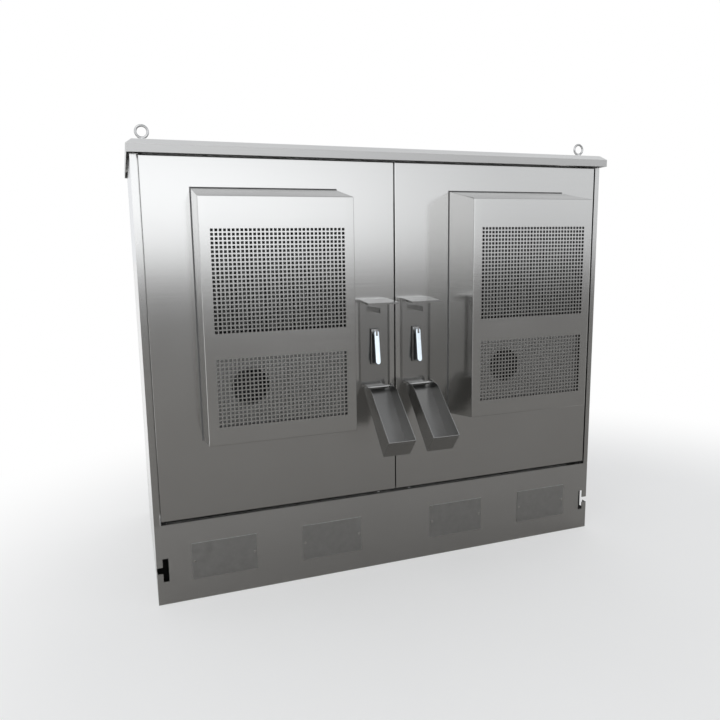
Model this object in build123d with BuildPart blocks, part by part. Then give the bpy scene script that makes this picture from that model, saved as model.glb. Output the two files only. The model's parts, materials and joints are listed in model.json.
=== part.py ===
from build123d import *
import math
import os

os.makedirs("parts", exist_ok=True)

# Roadside utility cabinet, in millimetres: X to the right, -Y to the front, Z up,
# with the origin on the ground under the middle of the body.

# Clearances shared by the whole part
overrun = 5.0
seat_gap = 0.3
fit_gap = 0.05

# Body
body_width = 1640.0
body_depth = 800.0
body_height = 1141.0
sheet = 2.0

# Plinth
plinth_height = 265.0
plinth_sheet = 3.0
plinth_foot_flange = 60.0
plinth_top_flange = 15.0
anchor_end_inset = 80.0
anchor_radius = 7.0
slot_inset = 19.0
slot_width = 18.0
slot_bottom = 77.0
slot_height = 78.0
slot_stem_height = 21.0

# Vent covers on the plinth
vent_end_inset = 215.0
vent_middle_space = 266.0
vent_width = 210.0
vent_height = 122.0
vent_centre_z = 131.0
vent_sheet = 1.5
vent_rim = 15.0
vent_screw_inset = 8.0
screw_radius = 2.4
screw_head_radius = 4.5
screw_head_height = 2.6
screw_length = 14.0

# Door frame
post_face = 18.0
rebate_flange = 30.0
centre_post_width = 64.0
centre_post_depth = 42.0
gasket_width = 12.0
gasket_thickness = 4.5
gasket_inset = 2.0
gasket_clearance = 1.5

# Roof
roof_side_overhang = 10.0
roof_front_overhang = 28.0
fascia_height = 24.0
bevel_height = 15.0
bevel_inset = 18.0
roof_drop = 2.0
eye_end_inset = 40.0
eye_front_inset = 75.0
eye_ring_radius = 17.7
eye_wire_radius = 3.9
eye_ring_rise = 32.0
eye_collar_radius = 10.0
eye_collar_height = 14.0
eye_shank_radius = 5.0
eye_shank_below = 12.0
spacer_radius = 16.0
weld_nut_radius = 11.0
weld_nut_height = 10.0

# Inside fittings
rack_opening = 450.0
rack_bay_centre = 400.0
rail_leg = 30.0
rail_front_y = -220.0
rail_rear_y = 250.0
shelf_rise = 423.0
shelf_flange = 30.0
earth_bar_length = 300.0
earth_bar_height = 30.0
earth_bar_thickness = 6.0
earth_bar_rise = 153.0
earth_hole_radius = 5.0
earth_holes = 6
gland_spacing = 100.0
gland_inner_x = 300.0
gland_y = 150.0
glands_a_side = 3
gland_thread_radius = 16.0
gland_nut_radius = 22.0
gland_nut_height = 12.0
gland_cap_height = 14.0
gland_cap_rounding = 6.0

# Doors
door_depth = 40.0
door_lip = 15.0
door_side_gap = 4.0
door_top_gap = 3.0
door_foot_gap = 10.0
door_middle_gap = 3.0
bend_radius = 3.0
hinge_inset = 8.0
hinge_pin_radius = 4.0
hinge_block_height = 16.0
hinge_block_side = 18.0
hinge_collar_radius = 6.0
hinge_head_height = 4.0
hinge_foot_radius = 4.8

# Air conditioner on each door
ac_outward = 29.0
ac_width = 454.0
ac_height = 749.0
ac_depth = 178.5
ac_from_top = 92.0
ac_top_drop = 33.0
ac_foot_drop = 28.0
ac_sheet = 1.5
ac_cutout_side_margin = 27.0
ac_cutout_end_margin = 44.5
field_side_margin = 32.5
field_top_margin = 92.0
field_band = 76.0
field_foot_margin = 54.0
lower_field_height = 201.0
field_columns = 10
upper_rows = 7
lower_rows = 5
field_bar_share = 1 / 3
baffle_setback = 14.0
baffle_side_gap = 3.0
baffle_rise = 35.0
coil_side_gap = 23.5
coil_setback = 30.0
coil_depth = 50.0
coil_groove = 5.0
coil_groove_depth = 12.0
coil_grooves = 24
coil_bracket = 2.0
evaporator_side_lap = 12.0
evaporator_end_lap = 15.0
evaporator_depth = 106.0
louvre_margin = 52.0
louvre_height = 10.0
louvre_pitch = 24.0
louvre_rows = 6
louvre_rise_share = 0.3

# Fan behind the lower field of each hood
fan_inset = 129.0
fan_rise = 13.5
fan_side = 120.0
fan_depth = 38.0
fan_rim = 5.0
fan_spoke_width = 8.0
fan_spoke_depth = 4.0
fan_spokes = 4
fan_boss_radius = 18.0
fan_pin_radius = 4.0
fan_hub_radius = 21.0
fan_hub_depth = 26.0
fan_tip_gap = 3.0
fan_blades = 7
fan_blade_chord = 26.0
fan_blade_thickness = 2.0
fan_blade_pitch = 32.0

# Lock box beside the door gap
lock_centre = 76.0
lock_width = 106.0
lock_rise = 381.0
lock_height = 296.0
lock_sheet = 2.0
lock_flange = 11.0
brow_depth = 92.0
brow_drop = 5.5
brow_lip = 6.0
staple_thickness = 6.0
staple_height = 17.0
staple_depth = 68.0
staple_hole_radius = 4.0
staple_hole_inset = 9.0
staple_above_flap = 5.0
staple_below_top = 26.0
lip_side_gap = 11.5

# Cover flap, hanging open
flap_side_gap = 5.0
flap_depth = 52.0
flap_tip_deepening = 26.0
flap_sheet = 2.0
flap_heel = 8.0
flap_heel_rise = 7.0
flap_shoulder = 42.0
flap_base_offset = 19.0
flap_hinge_depth = 37.0
flap_hinge_rise = 2.0
flap_pin_radius = 3.0
flap_pin_end = 1.7
flap_knuckle_radius = 6.0
flap_open_angle = 130.0

# Swing handle, its dish and its spindle
spindle_rise = 184.0
dish_width = 30.0
dish_depth = 8.0
dish_above = 13.0
dish_below = 109.0
dish_rim = 4.0
dish_pocket_depth = 5.0
dish_pocket_top = 14.0
dish_rounding = 3.0
handle_width = 18.0
handle_thickness = 8.0
handle_above = 8.0
handle_below = 108.0
handle_edge = 2.5
handle_lean = 8.3
handle_pivot_depth = 22.0
handle_slot_depth = 10.0
handle_pin_radius = 2.5
spindle_radius = 8.0
spindle_head_radius = 10.0
spindle_head_depth = 4.0
spindle_lug_width = 6.0
spindle_lug_height = 12.0
spindle_lug_beyond = 4.5
spindle_tail_radius = 5.0

# Lock case with its pinion and rods
case_width = 64.0
case_height = 96.0
case_depth = 34.0
case_wall = 2.0
gear_module = 1.5
pinion_teeth = 15
tooth_play = 1.0
tooth_tip_share = 0.45
tooth_rise_share = 0.8
rod_width = 8.0
rod_thickness = 6.0
rod_depth = 20.0
rod_end_setback = 1.0
keeper_gap = 0.6
rack_back_teeth = 6
rack_front_teeth = 2
guide_width = 24.0
guide_height = 12.0
guide_from_end = 60.0

# Places worked out from the sizes above
half_width = body_width / 2
half_depth = body_depth / 2
front_y = -half_depth
body_top = plinth_height + body_height
floor_top = plinth_height + sheet
ceiling_under = body_top - sheet
shelf_z = floor_top + shelf_rise
earth_bar_z = floor_top + earth_bar_rise
rebate_y = front_y + door_depth + gasket_clearance + gasket_thickness
roof_base_z = body_top - roof_drop
roof_top_z = roof_base_z + fascia_height + bevel_height
door_outer_x = half_width - post_face - door_side_gap
door_inner_x = door_middle_gap / 2
door_bottom = floor_top + door_foot_gap
door_top = ceiling_under - door_top_gap
hinge_x = door_outer_x - hinge_inset
hinge_y = front_y + hinge_inset
ac_centre = (door_outer_x + door_inner_x) / 2 + ac_outward
ac_top_z = door_top - ac_from_top
ac_bottom_z = ac_top_z - ac_height
ac_mid_z = (ac_top_z + ac_bottom_z) / 2
ac_cutout_width = ac_width - 2 * ac_cutout_side_margin
ac_cutout_height = ac_height - 2 * ac_cutout_end_margin
evaporator_width = ac_cutout_width + 2 * evaporator_side_lap
evaporator_height = ac_cutout_height + 2 * evaporator_end_lap
louvre_width = evaporator_width - 2 * louvre_margin
field_width = ac_width - 2 * field_side_margin
lower_field_foot = ac_bottom_z + field_foot_margin
lower_field_top = lower_field_foot + lower_field_height
lower_field_z = (lower_field_foot + lower_field_top) / 2
upper_field_foot = lower_field_top + field_band
upper_field_top = ac_top_z - ac_top_drop - field_top_margin
upper_field_z = (upper_field_foot + upper_field_top) / 2
upper_field_height = upper_field_top - upper_field_foot
baffle_top_z = lower_field_top + baffle_rise
coil_width = ac_width - 2 * (ac_sheet + coil_side_gap + coil_bracket)
fan_z = lower_field_z + fan_rise
fan_bore_radius = fan_side / 2 - fan_rim
fan_front_y = front_y - ac_depth + baffle_setback + ac_sheet
lock_bottom = door_bottom + lock_rise
lock_top = lock_bottom + lock_height
spindle_z = lock_bottom + spindle_rise
flap_hinge_y = front_y - flap_hinge_depth
flap_hinge_z = lock_bottom + flap_hinge_rise
staple_z = lock_top - staple_below_top - staple_height
flap_length = staple_z - staple_above_flap - flap_hinge_z
flap_width = lock_width - 2 * (lock_sheet + flap_side_gap)
lip_width = flap_width - 2 * (flap_sheet + lip_side_gap)
handle_pivot_y = front_y - handle_pivot_depth
dish_front_y = front_y - lock_sheet - dish_depth
pitch_radius = gear_module * pinion_teeth / 2
tooth_pitch = math.pi * gear_module
tooth_width = (tooth_pitch - tooth_play) / 2
rod_offset = pitch_radius + gear_module + tooth_play / 2 + rod_width / 2
rod_y = front_y + rod_depth
rod_room_width = rod_width + 2 * seat_gap
rod_room_thickness = rod_thickness + 2 * seat_gap
keeper_width = rod_width + 2 * keeper_gap
keeper_thickness = rod_thickness + 2 * keeper_gap
sides = {"left": -1, "right": 1}


def block(x_span, y_span, z_span, mode=Mode.ADD):
    """A block between two limits on each axis of the current part."""
    spans = (x_span, y_span, z_span)
    middle = [(a + b) / 2 for a, b in spans]
    with Locations(tuple(middle)):
        Box(*[abs(b - a) for a, b in spans], mode=mode)


def about(centre, width):
    """The limits of a width about its centre."""
    return (centre - width / 2, centre + width / 2)


def round_bar(start, direction, radius, length, mode=Mode.ADD):
    """A round bar from its start along a direction."""
    with Locations(Plane(origin=start, z_dir=direction).location):
        Cylinder(radius, length, align=(Align.CENTER, Align.CENTER, Align.MIN), mode=mode)


def save(piece, name):
    """Label a finished piece and write it as a node."""
    piece.part.label = name
    export_step(piece.part, f"parts/{name}.step")


# Plinth
slot_top = slot_bottom + slot_height
slot_middle = (slot_bottom + slot_top) / 2
stem_span = about(slot_middle, slot_stem_height)
vent_outer_centre = half_width - vent_end_inset
vent_inner_centre = (vent_middle_space + vent_width) / 2
vent_centres = (-vent_outer_centre, -vent_inner_centre, vent_inner_centre, vent_outer_centre)
vent_screw_reach = vent_width / 2 - vent_screw_inset
plinth_inner = half_width - plinth_sheet
anchor_x = half_width - anchor_end_inset
anchor_y = half_depth - plinth_sheet - (plinth_foot_flange - plinth_sheet) / 2


def plinth_end_wall(facing):
    """The front (-1) or rear (+1) wall of the plinth."""
    outer = facing * half_depth
    inner = outer - facing * plinth_sheet
    through = (outer + facing * overrun, inner - facing * overrun)
    with BuildPart() as wall:
        block((-half_width, half_width), (inner, outer), (0, plinth_height))
        block((-plinth_inner, plinth_inner), (inner, outer - facing * plinth_foot_flange), (0, plinth_sheet))
        block(
            (-plinth_inner, plinth_inner),
            (inner, outer - facing * plinth_top_flange),
            (plinth_height - plinth_sheet, plinth_height),
        )
        for side in sides.values():
            slot_outer = side * (half_width - slot_inset)
            slot_inner = slot_outer - side * slot_width
            block((slot_outer, slot_inner), through, (slot_bottom, slot_top), Mode.SUBTRACT)
            block((slot_outer, side * (half_width + overrun)), through, stem_span, Mode.SUBTRACT)
            hole = (side * anchor_x, facing * anchor_y, -overrun)
            round_bar(hole, (0, 0, 1), anchor_radius, plinth_sheet + 2 * overrun, Mode.SUBTRACT)
        if facing < 0:
            for centre in vent_centres:
                window_x = about(centre, vent_width - 2 * vent_rim)
                window_z = about(vent_centre_z, vent_height - 2 * vent_rim)
                block(window_x, through, window_z, Mode.SUBTRACT)
                for end in sides.values():
                    hole = (centre + end * vent_screw_reach, through[0], vent_centre_z)
                    reach = plinth_sheet + 2 * overrun
                    round_bar(hole, (0, 1, 0), screw_radius + fit_gap, reach, Mode.SUBTRACT)
            for side in sides.values():
                hole = (side * hinge_x, hinge_y, plinth_height - plinth_sheet - overrun)
                reach = plinth_sheet + 2 * overrun
                round_bar(hole, (0, 0, 1), hinge_pin_radius + fit_gap, reach, Mode.SUBTRACT)
    return wall


def plinth_side_wall(side):
    """The left or right wall of the plinth."""
    outer = side * half_width
    inner = outer - side * plinth_sheet
    through = (outer + side * overrun, inner - side * overrun)
    length = half_depth - plinth_sheet
    foot_length = half_depth - plinth_foot_flange
    top_length = half_depth - plinth_top_flange
    with BuildPart() as wall:
        block((inner, outer), (-length, length), (0, plinth_height))
        block((inner, outer - side * plinth_foot_flange), (-foot_length, foot_length), (0, plinth_sheet))
        block(
            (inner, outer - side * plinth_top_flange),
            (-top_length, top_length),
            (plinth_height - plinth_sheet, plinth_height),
        )
        for end in sides.values():
            slot_outer = end * (half_depth - slot_inset)
            slot_inner = slot_outer - end * slot_width
            block(through, (slot_outer, slot_inner), (slot_bottom, slot_top), Mode.SUBTRACT)
            block(through, (slot_outer, end * half_depth), stem_span, Mode.SUBTRACT)
    return wall


save(plinth_end_wall(-1), "plinth_front")
save(plinth_end_wall(1), "plinth_rear")
for side_name, side in sides.items():
    save(plinth_side_wall(side), f"plinth_{side_name}")

# Vent covers and their screws
for number, centre in enumerate(vent_centres, start=1):
    with BuildPart() as cover:
        block(about(centre, vent_width), (front_y - vent_sheet, front_y), about(vent_centre_z, vent_height))
        for end in sides.values():
            hole = (centre + end * vent_screw_reach, front_y - vent_sheet - overrun, vent_centre_z)
            round_bar(hole, (0, 1, 0), screw_radius + fit_gap, vent_sheet + 2 * overrun, Mode.SUBTRACT)
    save(cover, f"vent_cover_{number}")

with BuildPart() as screws:
    for centre in vent_centres:
        for end in sides.values():
            seat = (centre + end * vent_screw_reach, front_y - vent_sheet, vent_centre_z)
            round_bar(seat, (0, -1, 0), screw_head_radius, screw_head_height)
            round_bar(seat, (0, 1, 0), screw_radius, screw_length)
save(screws, "vent_cover_screws")

# Floor, walls and ceiling
panel_x = (-half_width + sheet, half_width - sheet)
panel_y = (rebate_y + sheet, half_depth - sheet)
gland_x = [gland_inner_x + index * gland_spacing for index in range(glands_a_side)]
gland_places = [(side * x, gland_y) for side in sides.values() for x in gland_x]

with BuildPart() as floor:
    block(panel_x, panel_y, (plinth_height, floor_top))
    for x, y in gland_places:
        hole = (x, y, plinth_height - overrun)
        round_bar(hole, (0, 0, 1), gland_thread_radius + seat_gap, sheet + 2 * overrun, Mode.SUBTRACT)
save(floor, "floor_plate")

with BuildPart() as glands:
    for x, y in gland_places:
        round_bar((x, y, floor_top), (0, 0, 1), gland_nut_radius, gland_nut_height)
        round_bar((x, y, floor_top + gland_nut_height), (0, 0, 1), gland_thread_radius, gland_cap_height)
        thread_foot = (x, y, plinth_height - gland_nut_height)
        round_bar(thread_foot, (0, 0, 1), gland_thread_radius, gland_nut_height + sheet)
        round_bar((x, y, plinth_height), (0, 0, -1), gland_nut_radius, gland_nut_height / 2)
    cap_rims = glands.faces().group_by(Axis.Z)[-1].edges()
    fillet(cap_rims, radius=gland_cap_rounding)
save(glands, "cable_glands")

for side_name, side in sides.items():
    with BuildPart() as panel:
        block(
            (side * half_width, side * (half_width - sheet)),
            (front_y + sheet, half_depth - sheet),
            (plinth_height, body_top),
        )
    save(panel, f"{side_name}_side_panel")

with BuildPart() as rear:
    block((-half_width, half_width), (half_depth - sheet, half_depth), (plinth_height, body_top))
save(rear, "rear_panel")

eye_x = half_width - eye_end_inset
eye_y = half_depth - eye_front_inset
eye_places = [(x, y) for x in (-eye_x, eye_x) for y in (-eye_y, eye_y)]
shank_room = eye_shank_radius + fit_gap

with BuildPart() as ceiling:
    block(panel_x, panel_y, (ceiling_under, body_top))
    for x, y in eye_places:
        round_bar((x, y, ceiling_under), (0, 0, -1), weld_nut_radius, weld_nut_height)
        hole = (x, y, ceiling_under - weld_nut_height - overrun)
        round_bar(hole, (0, 0, 1), shank_room, weld_nut_height + sheet + 2 * overrun, Mode.SUBTRACT)
save(ceiling, "ceiling_panel")

# Door frame
flange_y = (rebate_y, rebate_y + sheet)
post_inner = half_width - post_face
flange_inner = post_inner - rebate_flange

for side_name, side in sides.items():
    with BuildPart() as post:
        height = (floor_top, ceiling_under)
        block((side * half_width, side * post_inner), (front_y, front_y + sheet), height)
        block((side * post_inner, side * (post_inner + sheet)), (front_y, rebate_y + sheet), height)
        block((side * (post_inner + sheet), side * flange_inner), flange_y, height)
    save(post, f"{side_name}_front_post")

with BuildPart() as centre_post:
    height = (floor_top + rebate_flange, ceiling_under - rebate_flange)
    block(about(0, centre_post_width), flange_y, height)
    for side in sides.values():
        cheek_outer = side * centre_post_width / 2
        block((cheek_outer, cheek_outer - side * sheet), (rebate_y, rebate_y + centre_post_depth), height)
save(centre_post, "centre_post")


def frame_rail(plate_z, flange_z, rod_side):
    """The header (+1) or sill (-1): a level plate with a rebate flange and holes for pins and rods."""
    with BuildPart() as rail:
        block(panel_x, (front_y, rebate_y + sheet), plate_z)
        block((-flange_inner, flange_inner), flange_y, flange_z)
        depth = (min(plate_z) - overrun, max(plate_z) + overrun)
        for side in sides.values():
            hole = (side * hinge_x, hinge_y, depth[0])
            round_bar(hole, (0, 0, 1), hinge_pin_radius + fit_gap, depth[1] - depth[0], Mode.SUBTRACT)
            rod_x = side * (lock_centre + rod_side * rod_offset)
            block(about(rod_x, keeper_width), about(rod_y, keeper_thickness), depth, Mode.SUBTRACT)
    return rail


save(frame_rail((plinth_height, floor_top), (floor_top, floor_top + rebate_flange), -1), "door_sill")
save(frame_rail((ceiling_under, body_top), (ceiling_under - rebate_flange, ceiling_under), 1), "door_header")

block_under_top = door_top - sheet - hinge_block_height
block_over_foot = door_bottom + sheet + hinge_block_height
with BuildPart() as pins:
    for side in sides.values():
        foot = (side * hinge_x, hinge_y, plinth_height - plinth_sheet - hinge_head_height)
        round_bar(foot, (0, 0, 1), hinge_pin_radius, block_over_foot - foot[2])
        round_bar(foot, (0, 0, 1), hinge_foot_radius, hinge_head_height)
        collar = (side * hinge_x, hinge_y, floor_top)
        round_bar(collar, (0, 0, 1), hinge_collar_radius, door_foot_gap - seat_gap)
        upper = (side * hinge_x, hinge_y, block_under_top)
        round_bar(upper, (0, 0, 1), hinge_pin_radius, body_top + hinge_head_height - block_under_top)
        head = (side * hinge_x, hinge_y, body_top)
        round_bar(head, (0, 0, 1), hinge_collar_radius, hinge_head_height)
save(pins, "hinge_pins")

with BuildPart() as gaskets:
    for side in sides.values():
        gasket_x = (side * (door_inner_x + gasket_inset), side * (door_outer_x - gasket_inset))
        gasket_z = (door_bottom + gasket_inset, door_top - gasket_inset)
        gasket_y = (rebate_y - gasket_thickness, rebate_y)
        block(gasket_x, gasket_y, gasket_z)
        block(
            (gasket_x[0] + side * gasket_width, gasket_x[1] - side * gasket_width),
            (gasket_y[0] - overrun, gasket_y[1] + overrun),
            (gasket_z[0] + gasket_width, gasket_z[1] - gasket_width),
            Mode.SUBTRACT,
        )
save(gaskets, "door_gaskets")

# Roof, its spacers and the lifting eyes
roof_length = body_width + 2 * roof_side_overhang
roof_breadth = body_depth + 2 * roof_front_overhang


def roof_hull(shrink, mode):
    """The roof's outline, moved in by a wall on every side but the open foot."""
    knee = roof_base_z + fascia_height
    with BuildSketch(Plane.XY.offset(roof_base_z)) as foot:
        Rectangle(roof_length - 2 * shrink, roof_breadth - 2 * shrink)
    extrude(foot.sketch, amount=fascia_height, mode=mode)
    with BuildSketch(Plane.XY.offset(knee)) as lower:
        Rectangle(roof_length - 2 * shrink, roof_breadth - 2 * shrink)
    with BuildSketch(Plane.XY.offset(roof_top_z - shrink)) as upper:
        inset = 2 * (bevel_inset + shrink)
        Rectangle(roof_length - inset, roof_breadth - inset)
    loft([lower.sketch, upper.sketch], mode=mode)


with BuildPart() as roof:
    roof_hull(0, Mode.ADD)
    roof_hull(sheet, Mode.SUBTRACT)
    for x, y in eye_places:
        hole = (x, y, roof_top_z - sheet - overrun)
        round_bar(hole, (0, 0, 1), shank_room, sheet + 2 * overrun, Mode.SUBTRACT)
save(roof, "roof")

with BuildPart() as spacers:
    for x, y in eye_places:
        round_bar((x, y, body_top), (0, 0, 1), spacer_radius, roof_top_z - sheet - body_top)
        round_bar((x, y, body_top), (0, 0, 1), shank_room, roof_top_z - body_top, Mode.SUBTRACT)
save(spacers, "roof_spacers")

with BuildPart() as eyes:
    for x, y in eye_places:
        round_bar((x, y, roof_top_z), (0, 0, 1), eye_collar_radius, eye_collar_height)
        shank_foot = ceiling_under - eye_shank_below
        round_bar((x, y, shank_foot), (0, 0, 1), eye_shank_radius, roof_top_z - shank_foot)
        with Locations(Plane(origin=(x, y, roof_top_z + eye_ring_rise), z_dir=(0, 1, 0)).location):
            Torus(eye_ring_radius, eye_wire_radius)
save(eyes, "lifting_eyes")

# Rack rails, shelf and earth bar
rail_x = [bay + end * rack_opening / 2 for bay in (-rack_bay_centre, rack_bay_centre) for end in (-1, 1)]
with BuildPart() as rails:
    for x in rail_x:
        outward = math.copysign(1, x) * math.copysign(1, abs(x) - rack_bay_centre)
        for y, inward in ((rail_front_y, 1), (rail_rear_y, -1)):
            height = (floor_top, ceiling_under)
            block((x, x + outward * rail_leg), (y, y + inward * sheet), height)
            back = x + outward * rail_leg
            block((back - outward * sheet, back), (y, y + inward * rail_leg), height)
save(rails, "rack_rails")

with BuildPart() as shelf:
    shelf_x = about(rack_bay_centre, rack_opening - 2 * seat_gap)
    shelf_y = (rail_front_y, rail_rear_y)
    block(shelf_x, shelf_y, (shelf_z, shelf_z + sheet))
    for edge, inward in ((shelf_x[0], 1), (shelf_x[1], -1)):
        block((edge, edge + inward * sheet), shelf_y, (shelf_z - shelf_flange, shelf_z))
save(shelf, "equipment_shelf")

with BuildPart() as earth_bar:
    bar_y = half_depth - sheet
    bar_z = about(earth_bar_z, earth_bar_height)
    block(about(0, earth_bar_length), (bar_y - earth_bar_thickness, bar_y), bar_z)
    bar_plane = Plane(origin=(0, bar_y, earth_bar_z), x_dir=(1, 0, 0), z_dir=(0, -1, 0))
    with Locations(bar_plane.location):
        with GridLocations(earth_bar_length / earth_holes, 0, earth_holes, 1):
            Cylinder(earth_hole_radius, earth_bar_thickness * 2 + overrun, mode=Mode.SUBTRACT)
save(earth_bar, "earth_bar")


# Doors
def door_skin(side):
    """A folded door with its lips, cut-outs, welded hinge blocks and rod guides."""
    outer_x = side * door_outer_x
    inner_x = side * door_inner_x
    rear_y = front_y + door_depth
    with BuildPart() as skin:
        block((inner_x, outer_x), (front_y, rear_y), (door_bottom, door_top))
        fillet(skin.faces().sort_by(Axis.Y)[0].edges(), radius=bend_radius)
        block(
            (inner_x + side * sheet, outer_x - side * sheet),
            (front_y + sheet, rear_y - sheet),
            (door_bottom + sheet, door_top - sheet),
            Mode.SUBTRACT,
        )
        block(
            (inner_x + side * door_lip, outer_x - side * door_lip),
            (rear_y - sheet - overrun, rear_y + overrun),
            (door_bottom + door_lip, door_top - door_lip),
            Mode.SUBTRACT,
        )
        block(
            about(side * ac_centre, ac_cutout_width),
            (front_y - overrun, front_y + sheet + overrun),
            about(ac_mid_z, ac_cutout_height),
            Mode.SUBTRACT,
        )
        spindle_hole = (side * lock_centre, front_y - overrun, spindle_z)
        round_bar(spindle_hole, (0, 1, 0), spindle_radius + seat_gap, sheet + 2 * overrun, Mode.SUBTRACT)

        # Welded hinge blocks in the two outer corners
        block_x = (outer_x - side * sheet, outer_x - side * (sheet + hinge_block_side))
        block_y = (front_y + sheet, front_y + sheet + hinge_block_side)
        for low in (door_bottom + sheet, door_top - sheet - hinge_block_height):
            block(block_x, block_y, (low, low + hinge_block_height))
        bore = (side * hinge_x, hinge_y, door_bottom - overrun)
        bore_length = door_top - door_bottom + 2 * overrun
        round_bar(bore, (0, 0, 1), hinge_pin_radius + fit_gap, bore_length, Mode.SUBTRACT)

        # Rod guides and the slots that the rods leave through
        for rod_side, guide_z in ((1, door_top - guide_from_end), (-1, door_bottom + guide_from_end)):
            rod_x = side * (lock_centre + rod_side * rod_offset)
            guide_y = (front_y + sheet, rod_y + rod_thickness)
            block(about(rod_x, guide_width), guide_y, about(guide_z, guide_height))
            edge_z = door_top if rod_side > 0 else door_bottom
            slot_z = (guide_z - rod_side * guide_height, edge_z + rod_side * overrun)
            block(about(rod_x, rod_room_width), about(rod_y, rod_room_thickness), slot_z, Mode.SUBTRACT)
    return skin


# Air conditioner
def hood_section(shrink):
    """The hood's side outline with its sloping top and foot, moved in by a wall at front, top and foot."""
    slope_share = (ac_depth - shrink) / ac_depth
    foot = ac_bottom_z + shrink
    front = front_y - ac_depth + shrink
    return [
        (front_y, foot - ac_foot_drop),
        (front, foot - ac_foot_drop * (1 - slope_share)),
        (front, ac_top_z - shrink - ac_top_drop * slope_share),
        (front_y, ac_top_z - shrink),
    ]


def ac_hood(side):
    """The outside hood, with two fields of square gaps in its front."""
    left_x = side * ac_centre - ac_width / 2
    front = front_y - ac_depth
    with BuildPart() as hood:
        with BuildSketch(Plane.YZ.offset(left_x)):
            with BuildLine():
                Polyline(hood_section(0), close=True)
            make_face()
        extrude(amount=ac_width)
        fillet(hood.faces().sort_by(Axis.Y)[0].edges(), radius=bend_radius)
        with BuildSketch(Plane.YZ.offset(left_x + ac_sheet)):
            with BuildLine():
                Polyline(hood_section(ac_sheet), close=True)
            make_face()
        extrude(amount=ac_width - 2 * ac_sheet, mode=Mode.SUBTRACT)
        fields = (
            (upper_field_z, upper_field_height, upper_rows),
            (lower_field_z, lower_field_height, lower_rows),
        )
        with BuildSketch(Plane.XZ.offset(-front)):
            for field_z, field_height, rows in fields:
                pitch_x = field_width / (field_columns - field_bar_share)
                pitch_z = field_height / (rows - field_bar_share)
                with Locations((side * ac_centre, field_z)):
                    with GridLocations(pitch_x, pitch_z, field_columns, rows):
                        Rectangle(pitch_x * (1 - field_bar_share), pitch_z * (1 - field_bar_share))
        extrude(amount=-ac_sheet - overrun, mode=Mode.SUBTRACT)
    return hood


def fan_x(side):
    """The fan's centre, at the same end of both hoods."""
    return side * ac_centre - ac_width / 2 + fan_inset


def ac_baffle(side):
    """The channel-shaped plate behind the lower field, with the fan's round inlet."""
    width = ac_width - 2 * (ac_sheet + baffle_side_gap)
    span_x = about(side * ac_centre, width)
    span_z = (ac_bottom_z + ac_sheet + baffle_side_gap, baffle_top_z)
    plate_y = (fan_front_y - ac_sheet, fan_front_y)
    with BuildPart() as baffle:
        block(span_x, plate_y, span_z)
        for edge, inward in ((span_x[0], 1), (span_x[1], -1)):
            block((edge, edge + inward * ac_sheet), (plate_y[0], front_y), span_z)
        hole = (fan_x(side), plate_y[0] - overrun, fan_z)
        round_bar(hole, (0, 1, 0), fan_bore_radius, ac_sheet + 2 * overrun, Mode.SUBTRACT)
    return baffle


def condenser_coil(side):
    """The finned block behind the upper field, on two end plates."""
    front = front_y - ac_depth + coil_setback
    span_x = about(side * ac_centre, coil_width)
    span_z = about(upper_field_z, upper_field_height)
    bracket_x = about(side * ac_centre, coil_width + 2 * coil_bracket)
    with BuildPart() as coil:
        block(span_x, (front, front + coil_depth), span_z)
        with BuildSketch(Plane.XZ.offset(-front)):
            with Locations((side * ac_centre, upper_field_z)):
                with GridLocations(coil_width / coil_grooves, 0, coil_grooves, 1):
                    Rectangle(coil_groove, upper_field_height + overrun)
        extrude(amount=-coil_groove_depth, mode=Mode.SUBTRACT)
        for edge, inward in ((bracket_x[0], 1), (bracket_x[1], -1)):
            block((edge, edge + inward * coil_bracket), (front, front_y), span_z)
    return coil


def evaporator_cover(side):
    """The inside housing of the air conditioner, with two fields of air slots."""
    span_x = about(side * ac_centre, evaporator_width)
    span_z = about(ac_mid_z, evaporator_height)
    door_back = front_y + sheet
    rear = door_back + evaporator_depth
    with BuildPart() as cover:
        block(span_x, (door_back, rear), span_z)
        block(
            (span_x[0] + ac_sheet, span_x[1] - ac_sheet),
            (door_back - overrun, rear - ac_sheet),
            (span_z[0] + ac_sheet, span_z[1] - ac_sheet),
            Mode.SUBTRACT,
        )
        with BuildSketch(Plane.XZ.offset(-rear)):
            for rise in (louvre_rise_share, -louvre_rise_share):
                with Locations((side * ac_centre, ac_mid_z + rise * evaporator_height)):
                    with GridLocations(0, louvre_pitch, 1, louvre_rows):
                        SlotOverall(louvre_width, louvre_height)
        extrude(amount=ac_sheet + overrun, both=True, mode=Mode.SUBTRACT)
    return cover


def fan_frame(side):
    """The fan's square frame, with spokes that carry the rotor's pin."""
    centre_x = fan_x(side)
    rear = fan_front_y + fan_depth
    spoke_y = (rear - fan_spoke_depth, rear)
    with BuildPart() as frame:
        block(about(centre_x, fan_side), (fan_front_y, rear), about(fan_z, fan_side))
        bore = (centre_x, fan_front_y - overrun, fan_z)
        round_bar(bore, (0, 1, 0), fan_bore_radius, fan_depth + 2 * overrun, Mode.SUBTRACT)
        with BuildSketch(Plane.XZ.offset(-rear)) as spider:
            with Locations((centre_x, fan_z)):
                Circle(fan_boss_radius)
                with PolarLocations(0, fan_spokes):
                    Rectangle(
                        fan_bore_radius + fan_spoke_width / 2,
                        fan_spoke_width,
                        align=(Align.MIN, Align.CENTER),
                    )
        extrude(spider.sketch, amount=fan_spoke_depth)
        pin_root = (centre_x, spoke_y[0], fan_z)
        round_bar(pin_root, (0, -1, 0), fan_pin_radius, seat_gap + fan_hub_depth)
    return frame


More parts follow.
